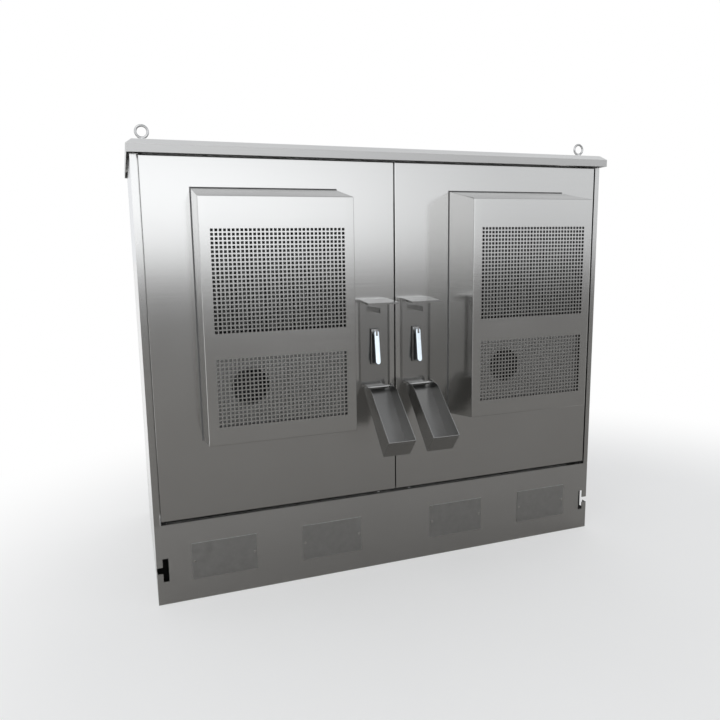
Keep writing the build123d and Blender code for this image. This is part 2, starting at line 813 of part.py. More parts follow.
def fan_rotor(side):
    """The fan's hub and pitched blades, turning on the frame's pin."""
    hub_rear = fan_front_y + fan_depth - fan_spoke_depth - seat_gap
    blade_length = fan_bore_radius - fan_tip_gap - fan_hub_radius + fan_blade_thickness
    blade_middle = fan_bore_radius - fan_tip_gap - blade_length / 2
    hub_plane = Plane(origin=(fan_x(side), hub_rear, fan_z), x_dir=(1, 0, 0), z_dir=(0, -1, 0))
    with BuildPart(hub_plane) as rotor:
        Cylinder(fan_hub_radius, fan_hub_depth, align=(Align.CENTER, Align.CENTER, Align.MIN))
        with Locations((0, 0, fan_hub_depth / 2)):
            with PolarLocations(blade_middle, fan_blades):
                Box(blade_length, fan_blade_chord, fan_blade_thickness, rotation=(fan_blade_pitch, 0, 0))
        Cylinder(fan_pin_radius + fit_gap, 2 * fan_hub_depth + overrun, mode=Mode.SUBTRACT)
    return rotor


# Lock
def brow_section(top, thickness, depth):
    """The rain brow's sloping side outline under a top height at the door."""
    fall = brow_drop * depth / brow_depth
    return [
        (front_y, top),
        (front_y - depth, top - fall),
        (front_y - depth, top - fall - thickness),
        (front_y, top - thickness),
    ]


def lock_box(side):
    """The back plate with side flanges, lipped rain brow, hinge lip and padlock staple."""
    centre = side * lock_centre
    plate_y = (front_y - lock_sheet, front_y)
    span_x = about(centre, lock_width)
    with BuildPart() as box:
        block(span_x, plate_y, (lock_bottom, lock_top))
        flange_z = (lock_bottom, lock_top - lock_sheet)
        for edge, inward in ((span_x[0], 1), (span_x[1], -1)):
            flange_x = (edge, edge + inward * lock_sheet)
            block(flange_x, (front_y - lock_flange, front_y), flange_z)
        with BuildSketch(Plane.YZ.offset(span_x[0])) as brow:
            Polygon(*brow_section(lock_top, brow_lip, brow_depth), align=None)
        extrude(brow.sketch, amount=lock_width)
        with BuildSketch(Plane.YZ.offset(span_x[0] + lock_sheet)) as hollow:
            Polygon(*brow_section(lock_top - lock_sheet, brow_lip, brow_depth - lock_sheet), align=None)
        extrude(hollow.sketch, amount=lock_width - 2 * lock_sheet, mode=Mode.SUBTRACT)

        # Hinge lip, rolled into a knuckle
        lip_x = about(centre, lip_width)
        block(lip_x, (flap_hinge_y, front_y), (lock_bottom, lock_bottom + lock_sheet))
        round_bar((lip_x[0], flap_hinge_y, flap_hinge_z), (1, 0, 0), flap_knuckle_radius, lip_width)
        bore = (lip_x[0] - overrun, flap_hinge_y, flap_hinge_z)
        round_bar(bore, (1, 0, 0), flap_pin_radius + fit_gap, lip_width + 2 * overrun, Mode.SUBTRACT)

        # Padlock staple, and the hole for the spindle
        staple_tip = front_y - lock_sheet - staple_depth
        block(about(centre, staple_thickness), (staple_tip, front_y), (staple_z, staple_z + staple_height))
        hole = (centre - staple_thickness, staple_tip + staple_hole_inset, staple_z + staple_height / 2)
        round_bar(hole, (1, 0, 0), staple_hole_radius, 2 * staple_thickness, Mode.SUBTRACT)
        spindle_hole = (centre, front_y - lock_sheet - overrun, spindle_z)
        round_bar(spindle_hole, (0, 1, 0), spindle_radius + seat_gap, lock_sheet + 2 * overrun, Mode.SUBTRACT)
    return box


def flap_base(tip, heel, rise):
    """The flap's sloping base line along the tray, a rise above the outer face."""
    tip_share = (flap_heel - tip) / (flap_heel + flap_length)
    heel_share = (flap_heel - heel) / (flap_heel + flap_length)
    base = rise - flap_base_offset
    return [
        (tip, base - flap_tip_deepening * tip_share),
        (heel, base - flap_tip_deepening * heel_share),
    ]


def lock_flap(side):
    """The tray-shaped cover, hanging open on its pin and deeper at its tip; its own Y runs to the hinge."""
    lean = math.radians(flap_open_angle - 90)
    hinge = (side * lock_centre, flap_hinge_y, flap_hinge_z)
    tray_plane = Plane(origin=hinge, x_dir=(1, 0, 0), z_dir=(0, -math.sin(lean), math.cos(lean)))
    side_plane = Plane(origin=hinge, x_dir=tuple(tray_plane.y_dir), z_dir=(1, 0, 0))
    wall_top = flap_depth - flap_base_offset
    with BuildPart(tray_plane) as flap:
        with BuildSketch(side_plane) as outline:
            Polygon(
                *flap_base(-flap_length, flap_heel, 0),
                (flap_heel, flap_heel_rise),
                (-flap_shoulder, wall_top),
                (-flap_length, wall_top),
                align=None,
            )
        extrude(outline.sketch, amount=flap_width / 2, both=True)
        base_face = flap.faces().sort_by(Axis(hinge, tuple(tray_plane.z_dir)))[0]
        folds = base_face.edges().sort_by(Axis(hinge, tuple(tray_plane.y_dir)))[:-1]
        fillet(folds, radius=flap_sheet)
        inner_tip = -flap_length + flap_sheet
        with BuildSketch(side_plane) as hollow:
            Polygon(
                *flap_base(inner_tip, flap_heel + overrun, flap_sheet),
                (flap_heel + overrun, wall_top + overrun),
                (inner_tip, wall_top + overrun),
                align=None,
            )
        extrude(hollow.sketch, amount=flap_width / 2 - flap_sheet, both=True, mode=Mode.SUBTRACT)
        round_bar((-flap_width, 0, 0), (1, 0, 0), flap_pin_radius + fit_gap, 2 * flap_width, Mode.SUBTRACT)
    return flap


def flap_pin(side):
    """The flap's hinge pin, through the knuckle and both side walls."""
    reach = flap_width / 2 + flap_pin_end
    with BuildPart() as pin:
        start = (side * lock_centre - reach, flap_hinge_y, flap_hinge_z)
        round_bar(start, (1, 0, 0), flap_pin_radius, 2 * reach)
    return pin


def escutcheon(side):
    """The dish behind the handle, with the spindle's bearing at its top."""
    centre = side * lock_centre
    back = front_y - lock_sheet
    low = spindle_z - dish_below
    high = spindle_z + dish_above
    with BuildPart() as dish:
        block(about(centre, dish_width), (dish_front_y, back), (low, high))
        fillet(dish.faces().sort_by(Axis.Y)[0].edges(), radius=dish_rounding)
        block(
            about(centre, dish_width - 2 * dish_rim),
            (dish_front_y - overrun, dish_front_y + dish_pocket_depth),
            (low + dish_rim, spindle_z - dish_pocket_top),
            Mode.SUBTRACT,
        )
        bore = (centre, dish_front_y - overrun, spindle_z)
        round_bar(bore, (0, 1, 0), spindle_radius + fit_gap, dish_depth + 2 * overrun, Mode.SUBTRACT)
    return dish


def lock_case(side):
    """The housing behind the door for the pinion and the toothed ends of the rods."""
    centre = side * lock_centre
    door_back = front_y + sheet
    rear = front_y + case_depth
    span_x = about(centre, case_width)
    span_z = about(spindle_z, case_height)
    with BuildPart() as case:
        block(span_x, (door_back, rear), span_z)
        block(
            (span_x[0] + case_wall, span_x[1] - case_wall),
            (door_back - overrun, rear - case_wall),
            (span_z[0] + case_wall, span_z[1] - case_wall),
            Mode.SUBTRACT,
        )
        for rod_side in sides.values():
            rod_x = centre + side * rod_side * rod_offset
            slot_z = (spindle_z, spindle_z + rod_side * (case_height / 2 + overrun))
            block(about(rod_x, rod_room_width), about(rod_y, rod_room_thickness), slot_z, Mode.SUBTRACT)
        bore = (centre, rear - case_wall - overrun, spindle_z)
        round_bar(bore, (0, 1, 0), spindle_tail_radius + fit_gap, case_wall + 2 * overrun, Mode.SUBTRACT)
    return case


def tooth_points():
    """A tooth that points along X from the pitch line, with its root sunk into its carrier."""
    rise = gear_module * tooth_rise_share
    root = -gear_module - tooth_play
    tip_half = tooth_width * tooth_tip_share / 2
    root_half = tooth_width * (2 - tooth_tip_share) / 2
    return [(root, -root_half), (rise, -tip_half), (rise, tip_half), (root, root_half)]


def spindle(side):
    """The handle's turning shaft: head with lug and cross pin, journal, pinion and tail."""
    centre = side * lock_centre
    head_back = dish_front_y - seat_gap
    head_front = head_back - spindle_head_depth
    tail_end = front_y + case_depth
    pinion_y = rod_y + rod_thickness / 2
    with BuildPart() as shaft:
        round_bar((centre, head_back, spindle_z), (0, -1, 0), spindle_head_radius, spindle_head_depth)
        journal_end = rod_y - rod_thickness / 2
        round_bar((centre, head_back, spindle_z), (0, 1, 0), spindle_radius, journal_end - head_back)
        lug_tip = handle_pivot_y - spindle_lug_beyond
        block(
            about(centre, spindle_lug_width),
            (lug_tip, head_front),
            about(spindle_z, spindle_lug_height),
        )
        pin_start = (centre - handle_width / 2, handle_pivot_y, spindle_z)
        round_bar(pin_start, (1, 0, 0), handle_pin_radius, handle_width)
        with BuildSketch(Plane.XZ.offset(-pinion_y)) as pinion:
            with Locations((centre, spindle_z)):
                Circle(pitch_radius - gear_module)
                with PolarLocations(pitch_radius, pinion_teeth):
                    Polygon(*tooth_points(), align=None)
        extrude(pinion.sketch, amount=rod_thickness)
        round_bar((centre, pinion_y, spindle_z), (0, 1, 0), spindle_tail_radius, tail_end - pinion_y)
    return shaft


def handle(side):
    """The swing handle, hanging from the spindle's cross pin; its own Y runs up along it."""
    lean = math.radians(handle_lean)
    pivot = (side * lock_centre, handle_pivot_y, spindle_z)
    grip_plane = Plane(origin=pivot, x_dir=(1, 0, 0), z_dir=(0, -math.cos(lean), math.sin(lean)))
    length = handle_above + handle_below
    with BuildPart(grip_plane) as grip:
        with BuildSketch(grip_plane):
            with Locations((0, (handle_above - handle_below) / 2)):
                SlotOverall(length, handle_width, rotation=90)
        extrude(amount=handle_thickness / 2, both=True)
        fillet(grip.faces().sort_by(Axis.Y)[0].edges(), radius=handle_edge)
        block(
            about(0, spindle_lug_width + 2 * seat_gap),
            (-handle_slot_depth, handle_above + overrun),
            about(0, handle_thickness + overrun),
            Mode.SUBTRACT,
        )
        hole_radius = handle_pin_radius + fit_gap
        round_bar((-handle_width, 0, 0), (1, 0, 0), hole_radius, 2 * handle_width, Mode.SUBTRACT)
    return grip


def lock_rod(side, rod_side):
    """The upper (+1) or lower (-1) rod, with rack teeth that face the pinion."""
    towards_pinion = -side * rod_side
    rod_x = side * (lock_centre + rod_side * rod_offset)
    pitch_x = side * lock_centre - towards_pinion * pitch_radius
    door_end = door_top - rod_end_setback if rod_side > 0 else door_bottom + rod_end_setback
    tail_z = spindle_z - rod_side * (rack_back_teeth + 1) * tooth_pitch
    tooth_on_pinion_level = towards_pinion > 0
    first = 0 if tooth_on_pinion_level else tooth_pitch / 2
    with BuildPart() as rod:
        block(about(rod_x, rod_width), about(rod_y, rod_thickness), (tail_z, door_end))
        with BuildSketch(Plane.XZ.offset(-rod_y - rod_thickness / 2)) as rack:
            for index in range(-rack_back_teeth, rack_front_teeth):
                tooth_z = spindle_z + rod_side * index * tooth_pitch + first
                with Locations(Location((pitch_x, tooth_z), 0 if towards_pinion > 0 else 180)):
                    Polygon(*tooth_points(), align=None)
        extrude(rack.sketch, amount=rod_thickness)
    return rod


for side_name, side in sides.items():
    save(door_skin(side), f"{side_name}_door_skin")
    save(ac_hood(side), f"{side_name}_ac_hood")
    save(ac_baffle(side), f"{side_name}_ac_baffle")
    save(condenser_coil(side), f"{side_name}_condenser_coil")
    save(evaporator_cover(side), f"{side_name}_evaporator_cover")
    save(fan_frame(side), f"{side_name}_fan_frame")
    save(fan_rotor(side), f"{side_name}_fan_rotor")
    save(lock_box(side), f"{side_name}_lock_box")
    save(lock_flap(side), f"{side_name}_lock_flap")
    save(flap_pin(side), f"{side_name}_flap_pin")
    save(escutcheon(side), f"{side_name}_escutcheon")
    save(lock_case(side), f"{side_name}_lock_case")
    save(spindle(side), f"{side_name}_spindle")
    save(handle(side), f"{side_name}_handle")
    save(lock_rod(side, 1), f"{side_name}_upper_rod")
    save(lock_rod(side, -1), f"{side_name}_lower_rod")
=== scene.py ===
import json
import math

import bmesh
import bpy
from mathutils import Matrix, Vector

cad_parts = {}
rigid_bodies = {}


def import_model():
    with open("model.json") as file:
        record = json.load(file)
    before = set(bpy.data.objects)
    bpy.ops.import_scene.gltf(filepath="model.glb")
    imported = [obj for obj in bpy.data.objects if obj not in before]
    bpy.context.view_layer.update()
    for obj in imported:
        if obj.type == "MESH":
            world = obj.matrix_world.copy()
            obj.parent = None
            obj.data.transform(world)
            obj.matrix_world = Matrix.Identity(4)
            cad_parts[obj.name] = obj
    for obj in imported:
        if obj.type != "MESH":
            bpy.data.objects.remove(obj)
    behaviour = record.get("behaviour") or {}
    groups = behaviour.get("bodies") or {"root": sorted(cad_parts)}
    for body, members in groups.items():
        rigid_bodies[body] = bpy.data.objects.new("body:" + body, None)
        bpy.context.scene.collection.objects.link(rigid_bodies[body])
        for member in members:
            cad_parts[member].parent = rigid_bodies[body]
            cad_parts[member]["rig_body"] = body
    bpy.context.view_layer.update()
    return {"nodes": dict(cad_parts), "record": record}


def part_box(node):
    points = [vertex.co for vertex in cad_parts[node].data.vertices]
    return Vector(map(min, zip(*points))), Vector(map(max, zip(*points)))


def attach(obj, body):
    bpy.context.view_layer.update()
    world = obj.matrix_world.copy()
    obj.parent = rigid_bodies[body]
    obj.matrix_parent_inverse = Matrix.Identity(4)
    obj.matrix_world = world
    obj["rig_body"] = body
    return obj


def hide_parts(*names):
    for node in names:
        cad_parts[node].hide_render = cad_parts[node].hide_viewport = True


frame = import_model()

# Roadside utility cabinet: looks. Lengths are in metres, in the frame of the solids.

SIDES = ("left", "right")
VENT_COVERS = ("vent_cover_1", "vent_cover_2", "vent_cover_3", "vent_cover_4")
PLINTH_WALLS = ("plinth_front", "plinth_rear", "plinth_left", "plinth_right")

# Hood sheet, with the slopes of its top and foot
HOOD_SHEET = 0.0015
HOOD_BEND = 0.0025
BEND_SEGMENTS = 3
HOOD_TOP_DROP = 0.033
HOOD_FOOT_DROP = 0.028

# Two fields of square punched holes in each hood, by their rise above its front foot
HOLE_SIDE = 0.008
HOLE_PITCH = 0.012
HOLE_COLUMNS = 33
LOWER_ROWS = 17
LOWER_RISE = 0.1545
UPPER_ROWS = 25
UPPER_RISE = 0.4775

# Bead of sealant round each hood
SEAL_WIDTH = 0.0026
SEAL_SEGMENTS = 4

# Softened edges of sheet pieces
SHEET_EDGE = 0.0005
PLINTH_EDGE = 0.0008
SCREW_EDGE = 0.0009
EDGE_SEGMENTS = 2
ROUND_PROFILE = 0.5
EDGE_ANGLE = math.radians(32)
FLAT_ANGLE = math.radians(1)
WELD_DISTANCE = 0.00001

# Faces with materials of their own: metal dish rims, plinth insides near black as painted shade,
# the roof's upright edges darker as painted shade and its slopes lighter as painted highlight
RIM_DEPTH = 0.002
PLINTH_MIDDLE = Vector((0, 0, 0.13))
UPRIGHT_LIMIT = 0.3
LEVEL_LIMIT = 0.99
FASCIA_INDEX = 1
SLOPE_INDEX = 2

# Brushed steel: grain across and along its lines, and what its patterns change
GRAIN_LINES = 320.0
GRAIN_RUN = 1.6
SIDEWAYS_LIMIT = 0.7
GRAIN_TONE = 0.6
CLOUD_TONE = 0.4
STEEL_DARK = 0.955
STEEL_LIGHT = 1.035
GRAIN_SPREAD = 0.06
CLOUD_SPREAD = 0.04

# Darkest and lightest shares of the colour in the other finishes
ZINC_DARK = 0.8
SMUDGE_DARK = 0.85
FIN_DARK = 0.25
SKIN_DARK = 0.7
SKIN_LIGHT = 1.3
MOTTLE_DARK = 0.98

# Sockets of a Mix node for vectors
MIX_FACTOR = 0
MIX_FIRST = 4
MIX_SECOND = 5
MIX_RESULT = 1

# Floor, and the grey card that only reflections see
FLOOR_COLOUR = (0.9, 0.9, 0.895)
FLOOR_REACH = 40.0
FLOOR_DROP = 0.001
FADE_CENTRE = (0.35, -0.8, 0)
FADE_START = 1.25
FADE_END = 2.7
NEAR_WHITE = 0.3
CARD_CORNERS = (
    (-20.0, -26.0),
    (20.0, -26.0),
    (20.0, -0.402),
    (-2.2, -0.402),
    (-2.2, -1.6),
    (-20.0, -11.9),
)
CARD_DROP = 0.0005
CARD_NEAR = -3.0
CARD_FAR = -9.0
CARD_NEAR_GREY = (0.27, 0.26, 0.245)
CARD_FAR_GREY = (0.18, 0.173, 0.165)

# Lamp and world, where a strength of 1 is white
LAMP_PLACE = Vector((-3.0, -4.0, 6.0))
LAMP_TARGET = Vector((0, 0, 0.6))
LAMP_SIZE = (5.0, 5.0)
LAMP_STRENGTH = 1.0
BRIGHT_SIDE = Vector((-0.15, -0.98, 0.12))
GLOW = 0.88
GLOW_FLATNESS = 4.0
GLOW_EDGE = 0.74
GLOW_CORE = 0.99
OVERHEAD_START = 0.3
OVERHEAD_END = 0.8
OVERHEAD_SHARE = 0.65
SKY_TINT = (0.965, 0.98, 1.0)
WHITE = (1, 1, 1)

# Camera: place, aim and framing
CAMERA_PLACE = (-0.8557, -2.5021, 1.1491)
CAMERA_YAW = math.radians(20.056)
CAMERA_PITCH = math.radians(9.112)
CAMERA_ROLL = math.radians(-0.6575)
CAMERA_LENS = 33.479
CAMERA_SHIFT = (-0.01509, -0.01763)
SENSOR_WIDTH = 36.0


# Node helpers
def feed(tree, socket, value):
    """Gives an input socket a value, or a link from an output socket."""
    if isinstance(value, bpy.types.NodeSocket):
        tree.links.new(value, socket)
    else:
        socket.default_value = value


def node(tree, kind, inputs=None, **settings):
    """A shader node with its settings and its inputs, each a value or an output socket."""
    made = tree.nodes.new(kind)
    for key, value in settings.items():
        setattr(made, key, value)
    for key, value in (inputs or {}).items():
        feed(tree, made.inputs[key], value)
    return made


def find(tree, kind):
    """The tree's first node of a kind."""
    return next(n for n in tree.nodes if n.type == kind)


def math_node(tree, operation, first, second=0.0):
    """The result of a Math node on two inputs, each an output socket or a number."""
    return node(tree, "ShaderNodeMath", {0: first, 1: second}, operation=operation).outputs[0]


def varied(tree, pattern, mean, spread):
    """A number about a mean that follows a pattern between 0 and 1."""
    inputs = {0: pattern, 1: spread, 2: mean - spread / 2}
    return node(tree, "ShaderNodeMath", inputs, operation="MULTIPLY_ADD").outputs[0]


def graded(tree, value, start, end, low=0.0, high=1.0, curve="SMOOTHSTEP"):
    """A number that goes from low to high as a value goes from start to end."""
    inputs = {"Value": value, "From Min": start, "From Max": end, "To Min": low, "To Max": high}
    return node(tree, "ShaderNodeMapRange", inputs, interpolation_type=curve).outputs["Result"]


def noise(tree, vector, scale, detail, roughness):
    """The value of a noise pattern at a scale, in cycles for each metre of the vector."""
    inputs = {"Vector": vector, "Scale": scale, "Detail": detail, "Roughness": roughness}
    return node(tree, "ShaderNodeTexNoise", inputs).outputs["Fac"]


def two_tone(tree, factor, dark, light, low=0.25, high=0.75):
    """A colour that runs from dark to light as the factor goes from low to high."""
    ramp = node(tree, "ShaderNodeValToRGB", {"Fac": factor})
    first, last = ramp.color_ramp.elements
    first.position, first.color = low, (*dark, 1)
    last.position, last.color = high, (*light, 1)
    return ramp.outputs["Color"]


def bump(tree, height, strength, distance, normal=None):
    """A bumped normal from a height pattern, over another normal if one is given."""
    inputs = {"Height": height, "Strength": strength, "Distance": distance}
    if normal is not None:
        inputs["Normal"] = normal
    return node(tree, "ShaderNodeBump", inputs).outputs["Normal"]


def shaded(colour, share):
    """A colour times a share."""
    return tuple(channel * share for channel in colour)


# Materials
def new_material(name):
    """A new node material, its tree, and the place on the object."""
    material = bpy.data.materials.new(name)
    material.use_nodes = True
    tree = material.node_tree
    return material, tree, node(tree, "ShaderNodeTexCoord").outputs["Object"]


def dress(tree, inputs):
    """Sets inputs of the tree's main shader, each to a value or an output socket."""
    shader = find(tree, "BSDF_PRINCIPLED")
    for key, value in inputs.items():
        feed(tree, shader.inputs[key], value)


def grain_pattern(tree, place):
    """Fine brush lines: along X on faces to the front or up, along Y on the side faces."""
    normal = node(tree, "ShaderNodeTexCoord").outputs["Normal"]
    split = node(tree, "ShaderNodeSeparateXYZ", {0: normal})
    sideways = math_node(tree, "ABSOLUTE", split.outputs["X"])
    choice = {MIX_FACTOR: math_node(tree, "GREATER_THAN", sideways, SIDEWAYS_LIMIT)}
    scales = {
        MIX_FIRST: (GRAIN_RUN, GRAIN_LINES, GRAIN_LINES),
        MIX_SECOND: (GRAIN_LINES, GRAIN_RUN, GRAIN_LINES),
    }
    for socket, scale in scales.items():
        mapping = node(tree, "ShaderNodeMapping", {"Vector": place, "Scale": scale})
        choice[socket] = mapping.outputs["Vector"]
    chosen = node(tree, "ShaderNodeMix", choice, data_type="VECTOR").outputs[MIX_RESULT]
    return noise(tree, chosen, scale=1.0, detail=4.0, roughness=0.62)


def brushed_steel(name, colour, roughness, waviness):
    """Stainless sheet with brush lines, cloudy patches and the slight waves of thin sheet."""
    material, tree, place = new_material(name)
    grain = grain_pattern(tree, place)
    cloud = noise(tree, place, scale=3.2, detail=3.0, roughness=0.55)
    waves = noise(tree, place, scale=2.1, detail=1.0, roughness=0.4)
    grain_tone = math_node(tree, "MULTIPLY", grain, GRAIN_TONE)
    tone = math_node(tree, "ADD", grain_tone, math_node(tree, "MULTIPLY", cloud, CLOUD_TONE))
    lines = varied(tree, grain, mean=roughness - CLOUD_SPREAD / 2, spread=GRAIN_SPREAD)
    patches = math_node(tree, "MULTIPLY", cloud, CLOUD_SPREAD)
    tangent = node(tree, "ShaderNodeTangent", direction_type="RADIAL", axis="Z")
    wavy = bump(tree, waves, strength=waviness, distance=0.02)
    dark, light = shaded(colour, STEEL_DARK), shaded(colour, STEEL_LIGHT)
    dress(tree, {
        "Base Color": two_tone(tree, tone, dark, light),
        "Roughness": math_node(tree, "ADD", lines, patches),
        "Metallic": 1.0,
        "Anisotropic": 0.6,
        "Anisotropic Rotation": 0.25,
        "Tangent": tangent.outputs["Tangent"],
        "Normal": bump(tree, grain, strength=0.05, distance=0.0002, normal=wavy),
    })
    return material


def zinc_steel(name, colour):
    """Zinc-plated sheet with a faint crystal pattern."""
    material, tree, place = new_material(name)
    crystals = node(tree, "ShaderNodeTexVoronoi", {"Vector": place, "Scale": 55.0})
    shade = node(tree, "ShaderNodeRGBToBW", {0: crystals.outputs["Color"]}).outputs[0]
    cloud = noise(tree, place, scale=9.0, detail=3.0, roughness=0.5)
    dress(tree, {
        "Base Color": two_tone(tree, shade, shaded(colour, ZINC_DARK), colour),
        "Roughness": varied(tree, cloud, mean=0.4, spread=0.3),
        "Metallic": 1.0,
    })
    return material


def turned_metal(name, colour, roughness):
    """Bright or plated metal with small smudges."""
    material, tree, place = new_material(name)
    smudge = noise(tree, place, scale=45.0, detail=4.0, roughness=0.6)
    dress(tree, {
        "Base Color": two_tone(tree, smudge, shaded(colour, SMUDGE_DARK), colour),
        "Roughness": varied(tree, smudge, mean=roughness, spread=0.16),
        "Metallic": 1.0,
    })
    return material


def finned_aluminium(name, colour):
    """Dark coil fins: close upright lines, darker between them."""
    material, tree, place = new_material(name)
    fins = node(
        tree,
        "ShaderNodeTexWave",
        {"Vector": place, "Scale": 70.0, "Distortion": 0.4},
        wave_type="BANDS",
        bands_direction="X",
    ).outputs["Fac"]
    dress(tree, {
        "Base Color": two_tone(tree, fins, shaded(colour, FIN_DARK), colour),
        "Metallic": 0.6,
        "Roughness": 0.6,
        "Normal": bump(tree, fins, strength=0.6, distance=0.001),
    })
    return material


def moulded(name, colour, roughness, pores):
    """Moulded plastic or foam rubber with a fine pitted skin."""
    material, tree, place = new_material(name)
    skin = noise(tree, place, scale=pores, detail=3.0, roughness=0.6)
    dark, light = shaded(colour, SKIN_DARK), shaded(colour, SKIN_LIGHT)
    dress(tree, {
        "Base Color": two_tone(tree, skin, dark, light),
        "Roughness": varied(tree, skin, mean=roughness, spread=0.2),
        "Normal": bump(tree, skin, strength=0.25, distance=0.0003),
    })
    return material


def matt_stage(name):
    """A matt material for the stage, its tree, and the place on it."""
    material, tree, place = new_material(name)
    dress(tree, {"Roughness": 0.9, "Specular IOR Level": 0.1})
    return material, tree, place


def receding_card(name, near, far):
    """The grey card on the camera's side, darker further off."""
    material, tree, place = matt_stage(name)
    aim = (math.sin(CAMERA_YAW), math.cos(CAMERA_YAW), 0)
    along = node(tree, "ShaderNodeVectorMath", {0: place, 1: aim}, operation="DOT_PRODUCT")
    depth = graded(tree, along.outputs["Value"], CARD_FAR, CARD_NEAR, curve="LINEAR")
    dress(tree, {"Base Color": two_tone(tree, depth, far, near, low=0.0, high=1.0)})
    return material


def fading_floor(name, colour):
    """The pale floor, which fades to plain white away from the object."""
    material, tree, place = matt_stage(name)
    mottle = noise(tree, place, scale=1.5, detail=2.0, roughness=0.5)
    dress(tree, {"Base Color": two_tone(tree, mottle, shaded(colour, MOTTLE_DARK), colour)})
    away = node(tree, "ShaderNodeVectorMath", {0: place, 1: FADE_CENTRE}, operation="DISTANCE")
    fade = graded(tree, away.outputs["Value"], FADE_START, FADE_END, low=NEAR_WHITE)
    rays = node(tree, "ShaderNodeLightPath").outputs
    seen = math_node(tree, "MAXIMUM", rays["Is Camera Ray"], rays["Is Glossy Ray"])
    seen = math_node(tree, "MAXIMUM", seen, rays["Is Transmission Ray"])
    mixed = node(tree, "ShaderNodeMixShader", {
        0: math_node(tree, "MULTIPLY", seen, fade),
        1: find(tree, "BSDF_PRINCIPLED").outputs[0],
        2: node(tree, "ShaderNodeEmission").outputs[0],
    })
    tree.links.new(mixed.outputs[0], find(tree, "OUTPUT_MATERIAL").inputs["Surface"])
    return material


STEEL = (0.6, 0.598, 0.59)
PLINTH_STEEL = brushed_steel("plinth_stainless", STEEL, roughness=0.24, waviness=0.03)
ROOF_STEEL = brushed_steel("roof_stainless", shaded(STEEL, 0.95), roughness=0.2, waviness=0.02)
# Fascia darker and slopes lighter than the roof: painted shade on the upright edges, painted
# highlight on the slopes; the fascia is also rougher
FASCIA_SHADE_STEEL = brushed_steel("fascia_shade_stainless", shaded(STEEL, 0.9), roughness=0.3, waviness=0.03)
SLOPE_HIGHLIGHT_STEEL = brushed_steel("slope_highlight_stainless", shaded(STEEL, 1.5), roughness=0.3, waviness=0.02)
# Lock steel darker than the doors: painted shade of the recessed lock boxes, their flaps and the
# dish rims
SHADED_LOCK_STEEL = brushed_steel("lock_shaded_stainless", shaded(STEEL, 0.72), roughness=0.17, waviness=0.02)
# Inner steel much darker: painted shade inside the flaps
INSIDE_SHADE_STEEL = brushed_steel("inside_shade_stainless", shaded(STEEL, 0.42), roughness=0.3, waviness=0.02)
MATERIALS = {
    "steel": brushed_steel("brushed_stainless", STEEL, roughness=0.155, waviness=0.03),
    "cover_steel": turned_metal("dull_stainless", shaded(STEEL, 0.74), roughness=0.4),
    "zinc_steel": zinc_steel("zinc_plated", (0.5, 0.51, 0.52)),
    "bright_steel": turned_metal("bright_steel", (0.6, 0.6, 0.6), roughness=0.25),
    "screws": turned_metal("screw_steel", (0.58, 0.57, 0.55), roughness=0.3),
    "chrome": turned_metal("polished_chrome", (0.78, 0.86, 0.92), roughness=0.12),
    "fins": finned_aluminium("dark_fins", (0.17, 0.175, 0.17)),
    "black_plastic": moulded("black_plastic", (0.018, 0.018, 0.02), roughness=0.45, pores=900.0),
    "rubber": moulded("foam_rubber", (0.02, 0.02, 0.02), roughness=0.75, pores=400.0),
    "copper": turned_metal("copper_bar", (0.7, 0.36, 0.22), roughness=0.35),
}
SEALANT = moulded("grey_sealant", (0.1, 0.1, 0.1), roughness=0.6, pores=500.0)
# Near black: painted shade inside the plinth, seen through its slots
PLINTH_INSIDE_SHADE = turned_metal("plinth_inside_shade", (0.05, 0.05, 0.048), roughness=0.45)
# Near black: painted shade for the hinge pins in the gaps by the doors
GAP_SHADE_BLACK = turned_metal("gap_shade_black", (0.05, 0.05, 0.052), roughness=0.4)
# Baffles in the duller cover steel; hinge pins near black as painted shade
FINISH_AND_SHADE_APART = {
    "left_ac_baffle": MATERIALS["cover_steel"],
    "right_ac_baffle": MATERIALS["cover_steel"],
    "hinge_pins": GAP_SHADE_BLACK,
}
SLOT_OF = {row["node"]: row["material_slot"] for row in frame["record"]["subparts"]}
for name, cad_object in frame["nodes"].items():
    cad_object.data.materials.clear()
    cad_object.data.materials.append(FINISH_AND_SHADE_APART.get(name) or MATERIALS[SLOT_OF[name]])


# Piece helpers
def crease(builder):
    """Smooth shading, broken at edges sharper than the edge angle."""
    for face in builder.faces:
        face.smooth = True
        face.material_index = 0
    for edge in builder.edges:
        edge.smooth = len(edge.link_faces) == 2 and edge.calc_face_angle() < EDGE_ANGLE


def new_object(name, builder, material):
    """An object in the scene with the mesh of a builder, which is freed."""
    mesh = bpy.data.meshes.new(name)
    builder.to_mesh(mesh)
    builder.free()
    mesh.materials.clear()
    mesh.materials.append(material)
    made = bpy.data.objects.new(name, mesh)
    bpy.context.scene.collection.objects.link(made)
    return made


def add_piece(name, builder, cad_node, material=None):
    """A piece that stands for a CAD node and rides on that node's body."""
    crease(builder)
    slot = SLOT_OF[cad_node]
    piece = new_object(name, builder, material or MATERIALS[slot])
    attributes = piece.data.attributes
    if "custom_normal" in attributes:
        attributes.remove(attributes["custom_normal"])
    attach(piece, frame["nodes"][cad_node]["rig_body"])
    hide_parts(cad_node)
    even = piece.modifiers.new("even_faces", "WEIGHTED_NORMAL")
    even.keep_sharp = True
    return piece


def round_edges(builder, edges, width, segments, clamp):
    """Rounds edges to a width, less where there is no room if clamped."""
    bmesh.ops.bevel(
        builder,
        geom=edges,
        offset=width,
        segments=segments,
        profile=ROUND_PROFILE,
        affect="EDGES",
        clamp_overlap=clamp,
    )


def thicken(piece, thickness):
    """Gives an open sheet its thickness, to the inside."""
    sheet = piece.modifiers.new("sheet", "SOLIDIFY")
    sheet.thickness = thickness
    sheet.offset = -1
    seen = piece.evaluated_get(bpy.context.evaluated_depsgraph_get())
    builder = bmesh.new()
    builder.from_mesh(seen.to_mesh())
    piece.modifiers.remove(sheet)
    crease(builder)
    builder.to_mesh(piece.data)
    builder.free()


